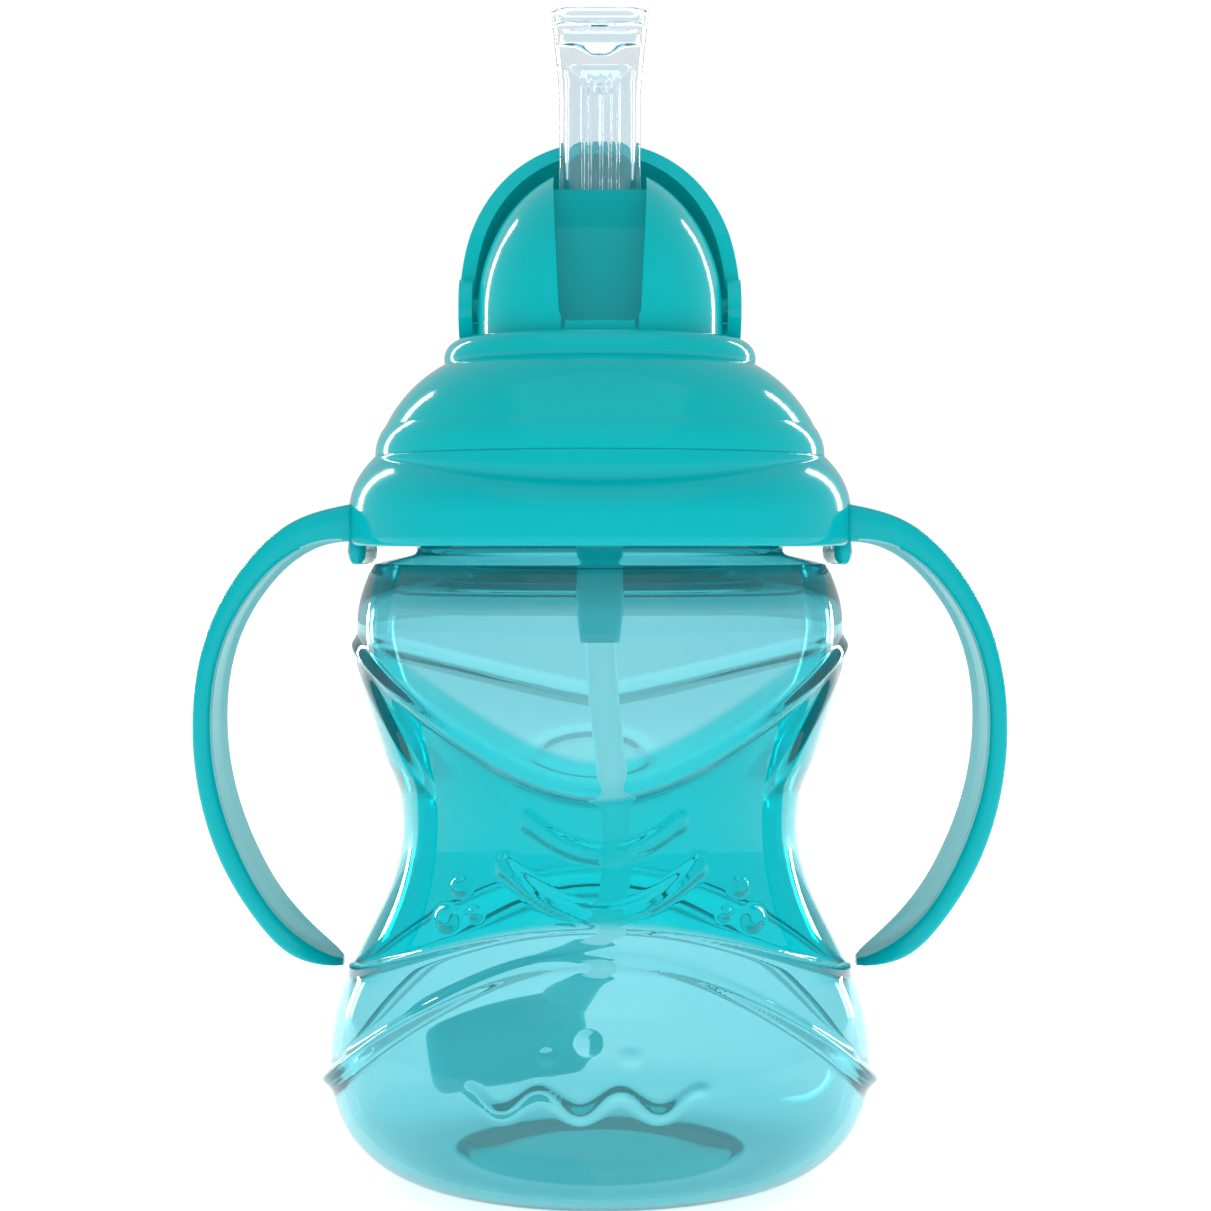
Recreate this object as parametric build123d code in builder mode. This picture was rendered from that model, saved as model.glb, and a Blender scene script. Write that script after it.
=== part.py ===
"""Two-handled toddler's straw cup with a screw lid, a flip cover and a weighted straw.

Units are millimetres. The origin is the centre of the base, +Z is up, the front
of the cup faces -Y and the handles stand out along +X and -X.
"""

from build123d import *
from math import atan2, cos, degrees, pi, radians, sin, tan
import os

os.makedirs("parts", exist_ok=True)

# ---------------------------------------------------------------- cup body
wall = 1.6                       # bottle wall
floor_thick = 1.8
base_radius = 24.5               # flat contact ring on the table
bulb_radius = 39.7               # widest part, low down
bulb_height = 15.5
waist_radius = 29.2
waist_height = 51.5
shoulder_radius = 35.8
shoulder_height = 79.5
rim_radius = 34.0                # top corner of the shoulder
rim_height = 87.2
neck_radius = 27.0
neck_bore = 25.0
neck_base = 90.0
neck_top = 104.2
punt_radius = 20.0               # shallow hollow under the base
punt_depth = 0.7

# neck bead that carries the handle ring, and the screw thread above it
bead_radius = 28.8
bead_low = 92.6
bead_top = 94.8
pitch = 4.0                      # lid rises this much in one turn
thread_depth = 1.15
thread_turns = 1.2
thread_low = 97.6
clear = 0.1                      # fit clearance between plastic pieces

# ---------------------------------------------------------------- handle ring
flange_low = bead_top + 0.05
flange_top = flange_low + 1.5
band_wall = 2.0
band_top = 103.7
band_top_radius = 33.0
band_radius = 37.0
band_low = 91.2
lug_low = 88.6
lug_top = 98.0
lug_inner = 33.9
lug_outer = 37.7
handle_depth = 17.5
handle_rim = 2.0                 # raised borders of the inner channel
channel_depth = 0.7
handle_edge = 0.8                # rounding of the handle's long edges
handle_end = 1.3                 # rounding of its free end

# ---------------------------------------------------------------- screw lid
lid_wall = 2.0
lid_low = 104.0
groove_one = (22.9, 117.9)
groove_two = (31.6, 108.8)
lid_edge_radius = 33.1
deck_height = 121.5
collar_bore = 28.5
collar_wall = 1.9
collar_low = flange_top + 0.1
seal_inner = 23.2
seal_thick = 1.4

# tower that carries the spout, an ellipsoid about an axis along X
tower_half = 18.3
tower_radius = 22.2
tower_y = 3.0
tower_z = 125.6
tower_back = 16.0
saddle_height = 143.9            # floor of the notch between the two horns
slot_top_width = 13.6
slot_low_width = 11.4
lip_height = 122.8               # lower edge of the slot at the front
pocket_floor = 120.6
ramp_top = (-0.6, saddle_height)
ramp_bend = (-1.5, 138.2)        # below here the ramp lies along the folded spout
ramp_foot = (-11.7, pocket_floor)

# ---------------------------------------------------------------- flip cover
hinge_y = 5.0
hinge_z = 126.5
cover_radius = 26.8
cover_half = 21.1
cover_wall = 2.1
cover_power = 2.15               # squareness of the cover's outline
cover_open = 110.0               # degrees between closed and open
rim_drop = 4.0                   # rim plane below the hinge when closed
tail_reach = 2.0                 # rear edge behind the hinge when closed
ear_radius = 4.7
pin_radius = 1.9
pin_reach = 2.3
pin_clear = 0.08

# ---------------------------------------------------------------- silicone spout
spout_y = 4.0
spout_wide = 12.2
spout_deep = 6.4
spout_wall = 1.3
fold_y = 1.1
fold_z = 144.7
fold_angle = 150.0
bend_low = 143.0
bend_top = 147.6
flare_start = 158.7
spout_top = 171.2
tip_wide = 14.6
tip_deep = 7.0
valve_low = 161.4
valve_top = 165.6
cap_low = 168.3
cap_top = 169.1
slit_length = 3.2
slit_gap = 0.4
bore_clear = 0.15
bore_low = 118.0
flange_thick = 2.4
sleeve_radius = 3.55
sleeve_low = 76.8
sleeve_tip_radius = 2.95
sleeve_taper = 5.0
straw_radius = 2.3
straw_bore = 1.6
straw_top = 84.0

# ---------------------------------------------------------------- straw weight
barrel_radius = 6.5
barrel_length = 25.0
barrel_wall = 1.4
barrel_centre = (-14.5, 18.0, 14.2)
barrel_direction = (1.0, 0.08, 0.15)
cap_length = 3.0
passage_radius = 1.6
core_length = 17.0
socket_outer = 3.7
socket_depth = 4.0

# Route of the straw tube, from the sleeve down into the weight's socket.
straw_route = [
    (0.0, spout_y, straw_top),
    (0.0, spout_y, 72.5),
    (1.9, 5.0, 57.0),
    (2.9, 8.0, 43.0),
    (1.2, 12.6, 32.0),
    (-2.8, 15.8, 25.2),
]
arc_share = 0.45                 # part of the shorter run that each arc takes up


def save(builder, name):
    """Label a finished piece and write it as its own file."""
    builder.part.label = name
    export_step(builder.part, "parts/" + name + ".step")


def oval(width, depth):
    """A flat-sided oval, wide along X."""
    return SlotOverall(width, depth)


def cover_profile(half, radius):
    """Points of the cover's outline, from its crown to close by the hinge axis."""
    steps = 14
    points = []
    for step in range(steps):
        angle = step * pi / 2 / steps
        along = half * sin(angle) ** (2 / cover_power)
        out = radius * cos(angle) ** (2 / cover_power)
        points.append((along, hinge_y - out))
    left = [(-x, y) for x, y in reversed(points)]
    return left + points[1:]


def thread_rib(radius, tip, root_width, tip_width, low, turns):
    """A helical rib whose root is at radius and whose crest reaches tip further out."""
    with BuildPart() as rib:
        with BuildLine() as path:
            Helix(pitch, pitch * turns, radius, center=(0, 0, low))
        start = path.line @ 0
        heading = path.line % 0
        sink = 0.4 if tip > 0 else -0.4
        with BuildSketch(Plane(origin=start, x_dir=(1, 0, 0), z_dir=heading)):
            with BuildLine():
                Polyline(
                    (-sink, -root_width / 2),
                    (tip, -tip_width / 2),
                    (tip, tip_width / 2),
                    (-sink, root_width / 2),
                    close=True,
                )
            make_face()
        sweep(is_frenet=True)
    return rib.part


# ================================================================ cup_body
side_points = [
    (base_radius, 0),
    (27.6, 0.3),
    (31.0, 1.15),
    (35.0, 3.7),
    (38.3, 8.2),
    (bulb_radius, bulb_height),
    (38.5, 24.5),
    (34.8, 33.2),
    (31.0, 41.0),
    (waist_radius, waist_height),
    (31.2, 61.2),
    (34.0, 70.0),
    (35.6, 76.5),
    (shoulder_radius, shoulder_height),
    (35.2, 83.8),
    (rim_radius, rim_height),
]
with BuildLine() as side_line:
    side_curve = Spline(side_points)
inner_side = []
samples = 30
for sample in range(samples + 1):
    place = side_curve @ (sample / samples)
    heading = side_curve % (sample / samples)
    inward = Vector(-heading.Y, heading.X)
    inner_side.append(tuple(place + inward * wall)[:2])

neck_thread = thread_rib(neck_radius, thread_depth, 2.0, 0.9, thread_low, thread_turns)
with BuildPart() as cup_body:
    with BuildSketch(Plane.XZ):
        with BuildLine():
            Spline(side_points)
            ThreePointArc(side_points[-1], (33.2, 88.5), (31.8, 88.9))
            Polyline((31.8, 88.9), (neck_radius, neck_base), (0, neck_base), (0, 0), side_points[0])
        make_face()
    revolve(axis=Axis.Z)
    with BuildSketch(Plane.XY.offset(neck_base - 1)):
        Circle(neck_radius)
    extrude(amount=neck_top - neck_base + 1)
    with BuildSketch(Plane.XZ):
        with BuildLine():
            bead_middle = (bead_low + bead_top) / 2
            Polyline(
                (neck_radius - 0.5, bead_low - 1.2),
                (neck_radius, bead_low - 1.2),
                (bead_radius, bead_middle),
                (bead_radius, bead_top),
                (neck_radius - 0.5, bead_top),
                close=True,
            )
        make_face()
    revolve(axis=Axis.Z)
    with BuildSketch(Plane.XZ):
        with BuildLine():
            Spline(inner_side)
            Polyline(
                inner_side[-1],
                (30.8, 87.6),
                (neck_bore, neck_base - 1.2),
                (0, neck_base - 1.2),
                (0, floor_thick),
                (base_radius - 2, floor_thick),
                inner_side[0],
            )
        make_face()
    revolve(axis=Axis.Z, mode=Mode.SUBTRACT)
    with BuildSketch(Plane.XY.offset(neck_base - 4)):
        Circle(neck_bore)
    extrude(amount=neck_top - neck_base + 5, mode=Mode.SUBTRACT)
    with BuildSketch(Plane.XY):
        Circle(punt_radius)
    extrude(amount=punt_depth, taper=20, mode=Mode.SUBTRACT)
    neck_lip = cup_body.edges().filter_by(GeomType.CIRCLE).group_by(Axis.Z)[-1]
    fillet(neck_lip, radius=0.6)
    add(neck_thread)
save(cup_body, "cup_body")

# ================================================================ handle_ring
handle_root_top = (35.6, 97.4)
handle_root_low = (35.6, 91.9)
handle_tip_low = (38.0, 29.8)
handle_tip_top = (38.4, 32.6)


def strap(inset, half_depth):
    """One handle as a plain strap; inset thins it from the inside, for the channel."""
    with BuildPart() as plain:
        with BuildSketch(Plane.XZ.offset(-half_depth)):
            with BuildLine():
                Spline(
                    handle_root_top,
                    (44.2, 94.9),
                    (51.3, 88.7),
                    (57.0, 78.4),
                    (59.1, 66.0),
                    (58.3, 56.0),
                    (55.0, 45.4),
                    (49.2, 36.6),
                    (43.4, 31.6),
                    handle_tip_low,
                )
                Line(handle_tip_low, handle_tip_top)
                Spline(
                    handle_tip_top,
                    (44.0 + inset, 34.9 - inset / 2),
                    (51.4 + inset, 45.2),
                    (55.3 + inset, 56.2),
                    (56.3 + inset, 66.0),
                    (54.2 + inset, 77.8),
                    (50.1 + inset, 84.9),
                    (45.2 + inset / 2, 89.6 + inset / 2),
                    (41.0, 91.5 + inset),
                    (handle_root_low[0], handle_root_low[1] + inset),
                )
                Line((handle_root_low[0], handle_root_low[1] + inset), handle_root_top)
            make_face()
        extrude(amount=2 * half_depth)
    return plain.part


full_strap = strap(0, handle_depth / 2)
inner_block = strap(0, handle_depth / 2 - handle_rim)
thin_block = strap(channel_depth, handle_depth / 2)

with BuildPart() as handle:
    add(full_strap)
    free_end = handle.edges().filter_by(Axis.Y).group_by(Axis.Z)[:2]
    fillet(free_end[0] + free_end[1], radius=handle_end)
    sides = handle.faces().filter_by(Axis.Y)
    root_edges = sides.edges().group_by(Axis.X)[0]
    fillet(sides.edges() - root_edges, radius=handle_edge)

with BuildPart() as channel:
    add(inner_block)
    add(thin_block, mode=Mode.SUBTRACT)
    with BuildSketch(Plane.XY.offset(lug_low - 1)):
        Circle(lug_outer + 1)
    extrude(amount=20, mode=Mode.SUBTRACT)

with BuildPart() as handle_ring:
    with BuildSketch(Plane.XZ):
        with BuildLine():
            Spline(
                (band_top_radius, band_top),
                (36.2, 99.8),
                (band_radius, 95.4),
                (band_radius, band_low),
                tangents=((1, -0.35), (0, -1)),
            )
            Line((band_radius, band_low), (band_radius - band_wall, band_low))
            Line((band_radius - band_wall, band_low), (band_radius - band_wall, 95.0))
            Spline(
                (band_radius - band_wall, 95.0),
                (34.3, 98.6),
                (band_top_radius - band_wall, band_top - 1.4),
                tangents=((0, 1), (-1, 0.5)),
            )
            Line((band_top_radius - band_wall, band_top - 1.4), (band_top_radius - band_wall, band_top))
            Line((band_top_radius - band_wall, band_top), (band_top_radius, band_top))
        make_face()
    revolve(axis=Axis.Z)
    with BuildSketch(Plane.XY.offset(flange_low)):
        Circle(band_radius - band_wall / 2)
        Circle(neck_radius + 0.6, mode=Mode.SUBTRACT)
    extrude(amount=flange_top - flange_low)
    with BuildSketch(Plane.XY.offset(lug_low)):
        Circle(lug_outer)
        Circle(lug_inner, mode=Mode.SUBTRACT)
        Rectangle(2 * lug_outer, handle_depth, mode=Mode.INTERSECT)
    extrude(amount=lug_top - lug_low)
    add(handle.part)
    add(channel.part, mode=Mode.SUBTRACT)
    mirror(handle.part, about=Plane.YZ)
    mirror(channel.part, about=Plane.YZ, mode=Mode.SUBTRACT)
save(handle_ring, "handle_ring")

# ================================================================ screw_lid
tower_axis = Axis((0, tower_y, tower_z), (1, 0, 0))


def tower_solid(shrink, low, back):
    """The tower's rounded head on its upright stem, shrunk evenly for the inside."""
    half = tower_half - shrink
    radius = tower_radius - shrink
    with BuildPart() as head:
        with BuildSketch(Plane.XY.offset(tower_z)):
            with Locations((0, tower_y)):
                Ellipse(half, radius)
                Rectangle(2 * half, radius, align=(Align.CENTER, Align.MIN), mode=Mode.SUBTRACT)
        revolve(axis=tower_axis)
        with BuildSketch(Plane.XY.offset(low)):
            with Locations((0, tower_y)):
                Ellipse(half, radius)
        extrude(amount=tower_z - low)
        with BuildSketch(Plane.XY.offset(low - 2 * radius)):
            with Locations((0, back)):
                Rectangle(4 * half, 4 * radius, align=(Align.CENTER, Align.MIN))
        extrude(amount=4 * radius, mode=Mode.SUBTRACT)
        with BuildSketch(Plane.XY.offset(low)):
            Circle(2 * radius)
        extrude(amount=-2 * radius, mode=Mode.SUBTRACT)
    return head.part


lid_rib = thread_rib(collar_bore, -thread_depth, 1.6, 0.8, thread_low, thread_turns)
lid_rib = lid_rib.rotate(Axis.Z, 180)
tower_outside = tower_solid(0, deck_height - 0.5, tower_back)
tower_inside = tower_solid(lid_wall, deck_height - 3.4, tower_back - lid_wall)
tower_core = tower_solid(0, deck_height - 3.4, tower_back)

with BuildPart() as lid_shell:
    with BuildSketch(Plane.XZ):
        with BuildLine():
            Line((0, deck_height), (20.0, deck_height))
            ThreePointArc((20.0, deck_height), (22.6, 120.2), groove_one)
            ThreePointArc(groove_one, (28.1, 113.9), groove_two)
            ThreePointArc(groove_two, (32.8, 106.6), (lid_edge_radius, lid_low))
            Polyline(
                (lid_edge_radius, lid_low),
                (collar_bore, lid_low),
                (collar_bore, neck_top + seal_thick + 0.1),
                (seal_inner, neck_top + seal_thick + 0.1),
                (seal_inner, 107.6),
                (29.4, 107.6),
                (21.6, 116.0),
                (19.6, deck_height - lid_wall),
                (0, deck_height - lid_wall),
                (0, deck_height),
            )
        make_face()
    revolve(axis=Axis.Z)
    with BuildSketch(Plane.XY.offset(collar_low)):
        Circle(collar_bore + collar_wall)
        Circle(collar_bore, mode=Mode.SUBTRACT)
    extrude(amount=lid_low - collar_low + 1)
    add(lid_rib)

# the folded spout's own shape, used to cut its pocket
fold = radians(fold_angle)
tip_heading = Vector(0, -sin(fold), cos(fold))
tip_outward = Vector(0, cos(fold), sin(fold))
tip_centre = Vector(0, fold_y, fold_z) + tip_outward * (spout_y - fold_y)
pocket_start = tip_centre + tip_heading * 10
with BuildPart() as pocket:
    with BuildSketch(Plane(origin=pocket_start, x_dir=(1, 0, 0), z_dir=tip_heading)):
        oval(tip_wide + 1.0, tip_deep + 0.6)
    extrude(amount=spout_top - fold_z - 10 + 0.4)

# the open slot: a tapered opening in front view, bounded behind by the ramp
with BuildPart() as slot:
    with BuildSketch(Plane.XZ.offset(30)):
        with BuildLine():
            Polyline(
                (-slot_low_width / 2, lip_height),
                (slot_low_width / 2, lip_height),
                (slot_top_width / 2, saddle_height),
                (slot_top_width / 2, 160),
                (-slot_top_width / 2, 160),
                (-slot_top_width / 2, saddle_height),
                close=True,
            )
        make_face()
    extrude(amount=-60)
    lower_corners = slot.edges().filter_by(Axis.Y).group_by(Axis.Z)[0]
    fillet(lower_corners, radius=1.8)
    with BuildSketch(Plane.YZ):
        with BuildLine():
            Polyline(
                (-40, 100),
                (ramp_foot[0], 100),
                ramp_foot,
                ramp_bend,
                ramp_top,
                (40, saddle_height),
                (40, 170),
                (-40, 170),
                close=True,
            )
        make_face()
    extrude(amount=20, both=True, mode=Mode.INTERSECT)

with BuildPart() as slot_floor:
    with BuildSketch(Plane.YZ):
        with BuildLine():
            Polyline(
                ramp_foot,
                (-18.4, pocket_floor),
                (-18.4, lip_height + 1),
                (ramp_foot[0] + 1.0, lip_height + 1),
                close=True,
            )
        make_face()
    extrude(amount=slot_low_width / 2 - 0.2, both=True)

# solid core inside the tower, around the slot, the pocket and the spout's bore
with BuildPart() as core:
    add(tower_core)
    with BuildSketch(Plane.YZ):
        with BuildLine():
            Polyline(
                (-21, bore_low),
                (-10.6, bore_low),
                (-0.8, 135.4),
                (-0.8, bore_low),
                (spout_y + spout_deep / 2 + 1.8, bore_low),
                (spout_y + spout_deep / 2 + 1.8, 170),
                (-21, 170),
                close=True,
            )
        make_face()
    extrude(amount=tip_wide / 2 + 2.0, both=True, mode=Mode.INTERSECT)

# floor of the notch between the horns, behind the spout
with BuildPart() as saddle:
    with BuildSketch(Plane.XY.offset(saddle_height)):
        with Locations((0, ramp_top[0] - 1)):
            Rectangle(
                slot_top_width + 1,
                tower_back - ramp_top[0] + 1,
                align=(Align.CENTER, Align.MIN),
            )
    extrude(amount=-lid_wall)
    add(tower_outside, mode=Mode.INTERSECT)

with BuildPart() as screw_lid:
    add(lid_shell.part)
    add(tower_outside)
    add(tower_inside, mode=Mode.SUBTRACT)
    add(core.part)
    add(saddle.part)
    add(slot.part, mode=Mode.SUBTRACT)
    add(slot_floor.part, mode=Mode.SUBTRACT)
    add(pocket.part, mode=Mode.SUBTRACT)
    with BuildSketch(Plane.XY.offset(bore_low - 1)):
        with Locations((0, spout_y)):
            oval(spout_wide + 2 * bore_clear, spout_deep + 2 * bore_clear)
    extrude(amount=40, mode=Mode.SUBTRACT)
    with BuildSketch(Plane.YZ.offset(-tower_half - 2)):
        with Locations((hinge_y, hinge_z)):
            Circle(pin_radius + pin_clear)
    extrude(amount=2 * tower_half + 4, mode=Mode.SUBTRACT)
save(screw_lid, "screw_lid")

# ================================================================ lid_seal
with BuildPart() as lid_seal:
    with BuildSketch(Plane.XY.offset(neck_top)):
        Circle(collar_bore - 0.2)
        Circle(neck_bore - 0.8, mode=Mode.SUBTRACT)
    extrude(amount=seal_thick)
save(lid_seal, "lid_seal")

# ================================================================ flip_cover
# Modelled closed, then turned back about the hinge to where it stands open.
hinge_axis = Axis((0, hinge_y, hinge_z), (1, 0, 0))


outer_points = cover_profile(cover_half, cover_radius)
inner_points = cover_profile(cover_half - cover_wall, cover_radius - cover_wall)
front_extra = degrees(atan2(rim_drop, cover_radius)) + 12
back_extra = 20
with BuildPart() as closed_cover:
    with BuildSketch(Plane.XY.offset(hinge_z)):
        with BuildLine():
            Spline(outer_points)
            Spline(inner_points)
            Line(outer_points[0], inner_points[0])
            Line(outer_points[-1], inner_points[-1])
        make_face()
    revolve(axis=hinge_axis, revolution_arc=-(90 + front_extra + back_extra))

with BuildPart() as trimmed_cover:
    add(closed_cover.part.rotate(hinge_axis, front_extra))
    with BuildSketch(Plane.YZ):
        with Locations((hinge_y + tail_reach, hinge_z - rim_drop)):
            Rectangle(40, 40, align=(Align.MAX, Align.MIN))
    extrude(amount=30, both=True, mode=Mode.INTERSECT)
    for side in (-1, 1):
        with BuildSketch(Plane.YZ.offset(side * (cover_half - cover_wall))):
            with Locations((hinge_y, hinge_z)):
                Circle(ear_radius)
        extrude(amount=side * (cover_wall - 0.1))
        with BuildSketch(Plane.YZ.offset(side * (cover_half - cover_wall / 2))):
            with Locations((hinge_y, hinge_z)):
                Circle(pin_radius)
        extrude(amount=-side * (cover_wall / 2 + pin_reach))

with BuildPart() as flip_cover:
    add(trimmed_cover.part.rotate(hinge_axis, -cover_open))
save(flip_cover, "flip_cover")

# ================================================================ spout
with BuildPart() as spout_base:
    with BuildSketch(Plane.XY.offset(bore_low)):
        with Locations((0, spout_y)):
            oval(spout_wide, spout_deep)
    extrude(amount=bend_low - bore_low)
    with BuildSketch(Plane.XY.offset(bore_low - flange_thick)):
        with Locations((0, spout_y)):
            oval(spout_wide + 5, spout_deep + 5)
    extrude(amount=flange_thick)
    with BuildSketch(Plane.XY.offset(sleeve_low + sleeve_taper)):
        with Locations((0, spout_y)):
            Circle(sleeve_radius)
    extrude(amount=bore_low - flange_thick - sleeve_low - sleeve_taper)
    with BuildSketch(Plane.XY.offset(sleeve_low)):
        with Locations((0, spout_y)):
            Circle(sleeve_tip_radius)
    with BuildSketch(Plane.XY.offset(sleeve_low + sleeve_taper)):
        with Locations((0, spout_y)):
            Circle(sleeve_radius)
    loft()
    with BuildSketch(Plane.XY.offset(bore_low)):
        with Locations((0, spout_y)):
            oval(spout_wide - 2 * spout_wall, spout_deep - 2 * spout_wall)
    extrude(amount=bend_low - bore_low, mode=Mode.SUBTRACT)
    with BuildSketch(Plane.XY.offset(sleeve_low)):
        with Locations((0, spout_y)):
            Circle(straw_bore)
    extrude(amount=bore_low - sleeve_low, mode=Mode.SUBTRACT)
    with BuildSketch(Plane.XY.offset(sleeve_low)):
        with Locations((0, spout_y)):
            Circle(straw_radius)
    extrude(amount=straw_top - sleeve_low, mode=Mode.SUBTRACT)
save(spout_base, "spout_base")

with BuildPart() as spout_bend:
    with BuildSketch(Plane.XY.offset(bend_low)):
        with Locations((0, spout_y)):
            oval(spout_wide, spout_deep)
            oval(spout_wide - 2 * spout_wall, spout_deep - 2 * spout_wall)
    extrude(amount=bend_top - bend_low)
    with BuildSketch(Plane.XY.offset(bend_low)):
        with Locations((0, spout_y)):
            oval(spout_wide - 2 * spout_wall, spout_deep - 2 * spout_wall)
    extrude(amount=bend_top - bend_low, mode=Mode.SUBTRACT)
save(spout_bend, "spout_bend")


def flared_tube(inset):
    """The tip's outer or inner surface, from the bend up through the flare."""
    with BuildPart() as tube:
        with BuildSketch(Plane.XY.offset(bend_top)):
            with Locations((0, spout_y)):
                oval(spout_wide - 2 * inset, spout_deep - 2 * inset)
        extrude(amount=flare_start - bend_top)
        with BuildSketch(Plane.XY.offset(flare_start)):
            with Locations((0, spout_y)):
                oval(spout_wide - 2 * inset, spout_deep - 2 * inset)
        with BuildSketch(Plane.XY.offset(spout_top)):
            with Locations((0, spout_y)):
                oval(tip_wide - 2 * inset, tip_deep - 2 * inset)
        loft()
    return tube.part


with BuildPart() as valve_plug:
    for low, top in ((valve_low, valve_top), (cap_low, cap_top)):
        with BuildSketch(Plane.XY.offset(low)):
            with Locations((0, spout_y)):
                oval(tip_wide - spout_wall, tip_deep - spout_wall)
        extrude(amount=top - low)
    with BuildSketch(Plane.XY.offset(valve_low)):
        with Locations((0, spout_y)):
            Rectangle(slit_length, slit_gap)
    extrude(amount=cap_top - valve_low, mode=Mode.SUBTRACT)

tip_outside = flared_tube(0)
tip_inside = flared_tube(spout_wall)
tip_middle = flared_tube(spout_wall / 2)
with BuildPart() as valve_discs:
    add(valve_plug.part)
    add(tip_middle, mode=Mode.INTERSECT)

with BuildPart() as spout_tip:
    add(tip_outside)
    add(tip_inside, mode=Mode.SUBTRACT)
    add(valve_discs.part)
save(spout_tip, "spout_tip")

# ================================================================ straw and weight
route = [Vector(*point) for point in straw_route]
runs = [b - a for a, b in zip(route, route[1:])]
arc_radii = []
for first, second in zip(runs, runs[1:]):
    half_turn = radians(first.get_angle(second) / 2)
    arc_radii.append(arc_share * min(first.length, second.length) / tan(half_turn))
print("straw arc radii:", [round(radius, 1) for radius in arc_radii])

with BuildPart() as straw_tube:
    with BuildLine() as straw_path:
        FilletPolyline(*route, radius=arc_radii)
    with BuildSketch(Plane(origin=route[0], x_dir=(1, 0, 0), z_dir=runs[0])):
        Circle(straw_radius)
        Circle(straw_bore, mode=Mode.SUBTRACT)
    sweep()
save(straw_tube, "straw_tube")
straw_length = straw_path.wires()[0].length
section = pi * (straw_radius ** 2 - straw_bore ** 2)
print("straw length:", round(straw_length, 2))
print("straw volume check:", round(straw_tube.part.volume / (section * straw_length), 4))

barrel_way = Vector(*barrel_direction).normalized()
barrel_mid = Vector(*barrel_centre)
left_end = barrel_mid - barrel_way * (barrel_length / 2)
socket_way = (route[-2] - route[-1]).normalized()
socket_root = route[-1] - socket_way * 6
barrel_plane = Plane(origin=left_end, z_dir=barrel_way)
core_start = cap_length + 0.5

with BuildPart() as weight_barrel:
    with BuildSketch(barrel_plane.offset(cap_length)):
        Circle(barrel_radius)
    extrude(amount=barrel_length - cap_length)
    round_end = weight_barrel.faces().sort_by(Axis(left_end, barrel_way))[-1].edges()
    fillet(round_end, radius=3.0)
    with BuildSketch(Plane(origin=socket_root, z_dir=socket_way)):
        Circle(socket_outer)
    extrude(amount=6 + socket_depth)
    with BuildSketch(barrel_plane.offset(cap_length)):
        Circle(barrel_radius - barrel_wall)
    extrude(amount=core_length + 1.0, mode=Mode.SUBTRACT)
    with BuildSketch(Plane(origin=route[-1], z_dir=socket_way)):
        Circle(straw_radius)
    extrude(amount=socket_depth + 1, mode=Mode.SUBTRACT)
    with BuildSketch(Plane(origin=socket_root, z_dir=socket_way)):
        Circle(passage_radius)
    extrude(amount=7, mode=Mode.SUBTRACT)
save(weight_barrel, "weight_barrel")

with BuildPart() as weight_cap:
    with BuildSketch(barrel_plane):
        Circle(barrel_radius)
    extrude(amount=cap_length - 0.02)
    cap_rim = weight_cap.faces().sort_by(Axis(left_end, barrel_way))[0].edges()
    fillet(cap_rim, radius=2.4)
    with BuildSketch(barrel_plane):
        Circle(passage_radius)
    extrude(amount=cap_length, mode=Mode.SUBTRACT)
save(weight_cap, "weight_cap")

with BuildPart() as weight_core:
    with BuildSketch(barrel_plane.offset(core_start)):
        Circle(barrel_radius - barrel_wall - clear)
        Circle(passage_radius + 0.4, mode=Mode.SUBTRACT)
    extrude(amount=core_length - 1.0)
save(weight_core, "weight_core")
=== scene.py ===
import math

import bpy
import numpy as np
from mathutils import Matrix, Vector


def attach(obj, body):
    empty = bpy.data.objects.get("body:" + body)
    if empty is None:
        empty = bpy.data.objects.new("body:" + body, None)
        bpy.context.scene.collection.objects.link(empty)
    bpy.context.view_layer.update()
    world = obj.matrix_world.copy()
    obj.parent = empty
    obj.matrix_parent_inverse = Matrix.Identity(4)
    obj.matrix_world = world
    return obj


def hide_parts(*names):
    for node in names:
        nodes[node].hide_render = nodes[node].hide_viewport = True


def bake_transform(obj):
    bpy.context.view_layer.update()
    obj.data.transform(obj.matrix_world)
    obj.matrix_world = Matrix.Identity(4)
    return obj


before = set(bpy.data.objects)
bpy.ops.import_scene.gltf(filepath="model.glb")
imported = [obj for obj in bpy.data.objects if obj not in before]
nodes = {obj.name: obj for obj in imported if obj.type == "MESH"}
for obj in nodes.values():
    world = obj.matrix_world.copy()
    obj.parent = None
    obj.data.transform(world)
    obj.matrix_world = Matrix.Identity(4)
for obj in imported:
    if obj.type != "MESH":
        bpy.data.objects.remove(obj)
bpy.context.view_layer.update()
MM = 0.001


# ------------------------------------------------------------------ mesh helpers
def smooth_curve(points, count):
    """count points along a smooth cubic that passes through the given ones."""
    p = np.array(points, float)
    t = np.concatenate([[0], np.cumsum(np.linalg.norm(np.diff(p, axis=0), axis=1))])
    n = len(t)
    h = np.diff(t)
    a = np.zeros((n, n))
    b = np.zeros((n, p.shape[1]))
    a[0, 0] = a[-1, -1] = 1
    for i in range(1, n - 1):
        a[i, i - 1], a[i, i], a[i, i + 1] = h[i - 1], 2 * (h[i - 1] + h[i]), h[i]
        b[i] = 6 * ((p[i + 1] - p[i]) / h[i] - (p[i] - p[i - 1]) / h[i - 1])
    m = np.linalg.solve(a, b)
    out = []
    for s in np.linspace(0, t[-1], count):
        i = min(int(np.searchsorted(t, s, side="right")) - 1, n - 2)
        u, v = t[i + 1] - s, s - t[i]
        out.append(
            (m[i] * u ** 3 + m[i + 1] * v ** 3) / (6 * h[i])
            + (p[i] / h[i] - m[i] * h[i] / 6) * u
            + (p[i + 1] / h[i] - m[i + 1] * h[i] / 6) * v
        )
    return np.array(out)


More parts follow.
